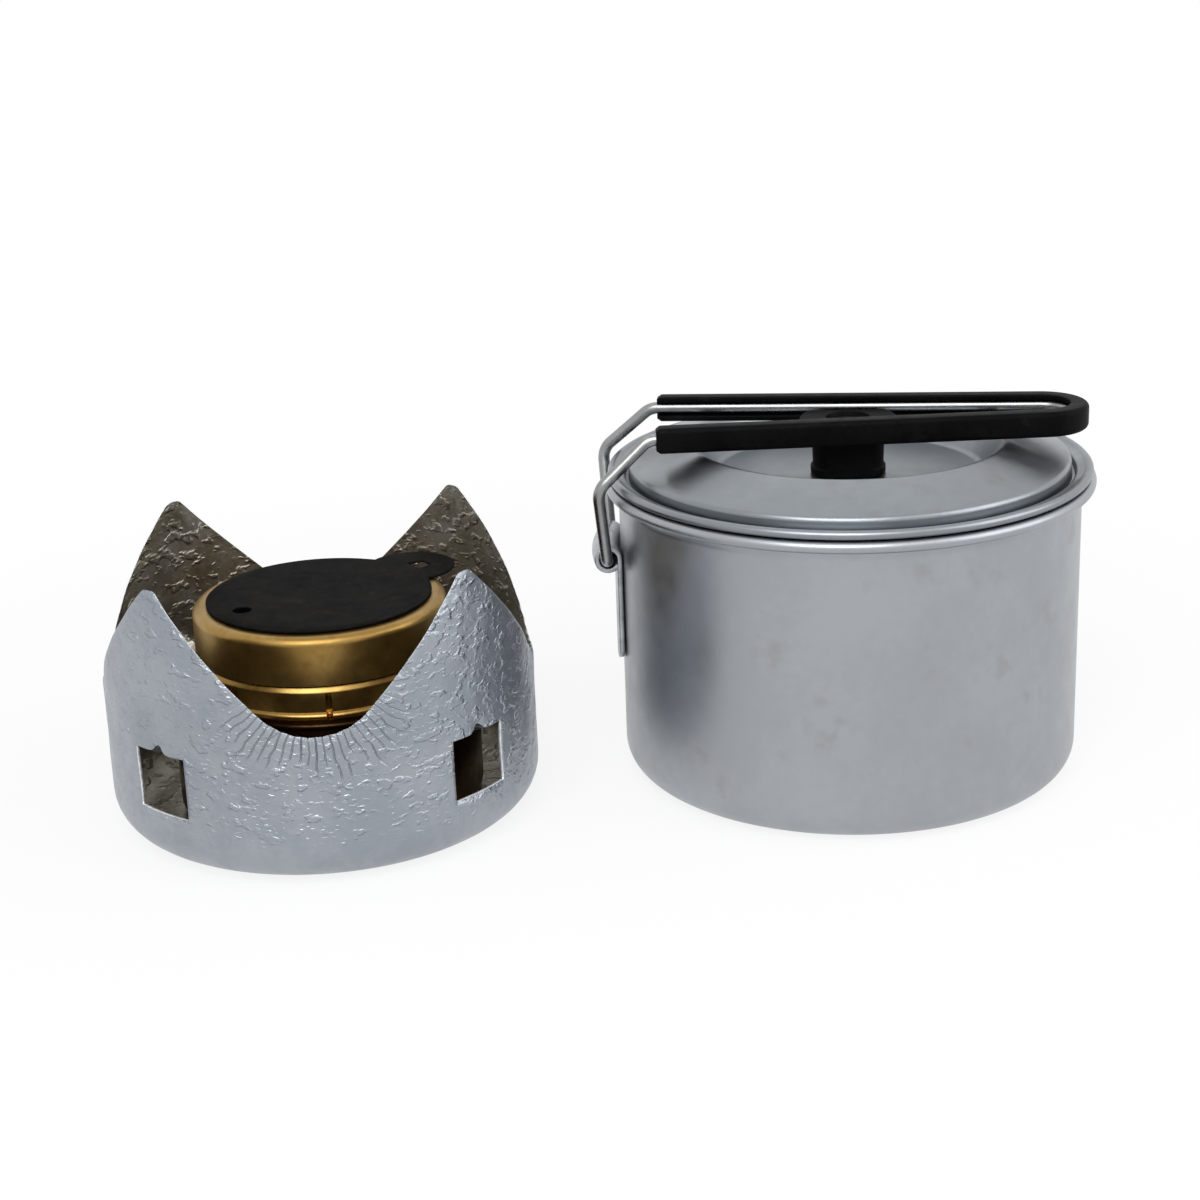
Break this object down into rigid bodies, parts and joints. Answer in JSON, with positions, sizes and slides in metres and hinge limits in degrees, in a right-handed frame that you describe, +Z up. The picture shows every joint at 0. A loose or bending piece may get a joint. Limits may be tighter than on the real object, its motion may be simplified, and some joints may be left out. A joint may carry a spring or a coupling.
{
  "type": "storm cooker",
  "caption": "Spirit burner with screw cap and simmer ring in a notched windshield, beside a lidded pot with a folding handle.",
  "frame": {"origin": "centre of the windshield's flat base, on the table", "axes": "+Z up; +X from the windshield towards the pot; the windshield's notches face +X, -X, +Y and -Y"},
  "size_m": [0.25, 0.1226, 0.093],
  "materials": {
    "textured_aluminium": "satin, hammered",
    "satin_aluminium": "satin",
    "brass": "satin, darkened",
    "blackened_steel": "matte black",
    "bright_steel": "satin",
    "black_plastic": "matte",
    "black_rubber": "matte",
    "wick_fibre": "matte"
  },
  "bodies": {
    "windshield": {"windshield": "textured_aluminium"},
    "burner": {"burner_tank": "brass", "burner_sleeve": "brass", "burner_wick": "wick_fibre"},
    "cap_seal": {"cap_seal": "black_rubber"},
    "cap": {"burner_cap": "brass"},
    "simmer_ring": {"simmer_ring": "brass", "simmer_rivet": "blackened_steel", "simmer_washer": "bright_steel"},
    "simmer_plate": {"simmer_plate": "blackened_steel"},
    "pot": {"pot_body": "satin_aluminium", "handle_bracket": "satin_aluminium", "bracket_rivet_near": "satin_aluminium", "bracket_rivet_far": "satin_aluminium"},
    "lid": {"pot_lid": "satin_aluminium", "lid_knob": "black_plastic", "knob_washer": "bright_steel", "knob_screw": "bright_steel"},
    "handle": {"handle_wire": "bright_steel", "handle_grip": "black_plastic"}
  },
  "joints": [
    {"name": "burner_lift", "type": "slide", "parent": "windshield", "child": "burner", "axis": [0, 0, 1], "range_m": [0, 0.075]},
    {"name": "cap_rise", "type": "slide", "parent": "burner", "child": "cap_seal", "axis": [0, 0, 1], "range_m": [0, 0.0121]},
    {"name": "cap_turn", "type": "hinge", "parent": "cap_seal", "child": "cap", "pos_m": [0.0011, 0, 0.04], "axis": [0, 0, 1], "range_deg": [0, 1440]},
    {"name": "ring_lift", "type": "slide", "parent": "cap", "child": "simmer_ring", "axis": [0, 0, 1], "range_m": [0, 0.03]},
    {"name": "plate_swing", "type": "hinge", "parent": "simmer_ring", "child": "simmer_plate", "pos_m": [-0.0174, -0.0094, 0.054], "axis": [0, 0, 1], "range_deg": [-45, 45]},
    {"name": "pot_lift", "type": "slide", "parent": "windshield", "child": "pot", "axis": [0, 0, 1], "range_m": [0, 0.1]},
    {"name": "handle_swing", "type": "hinge", "parent": "pot", "child": "handle", "pos_m": [0.07482, 0.01385, 0.0578], "axis": [-0.1305, -0.9914, 0], "range_deg": [0, 70]},
    {"name": "lid_lift", "type": "slide", "parent": "pot", "child": "lid", "axis": [0, 0, 1], "range_m": [0, 0.0225]}
  ],
  "couplings": [
    {"joint": "cap_rise", "follows": "cap_turn", "m_per_rad": 0.00047746},
    {"joint": "lid_lift", "follows": "handle_swing", "m_per_rad": 0.018}
  ]
}
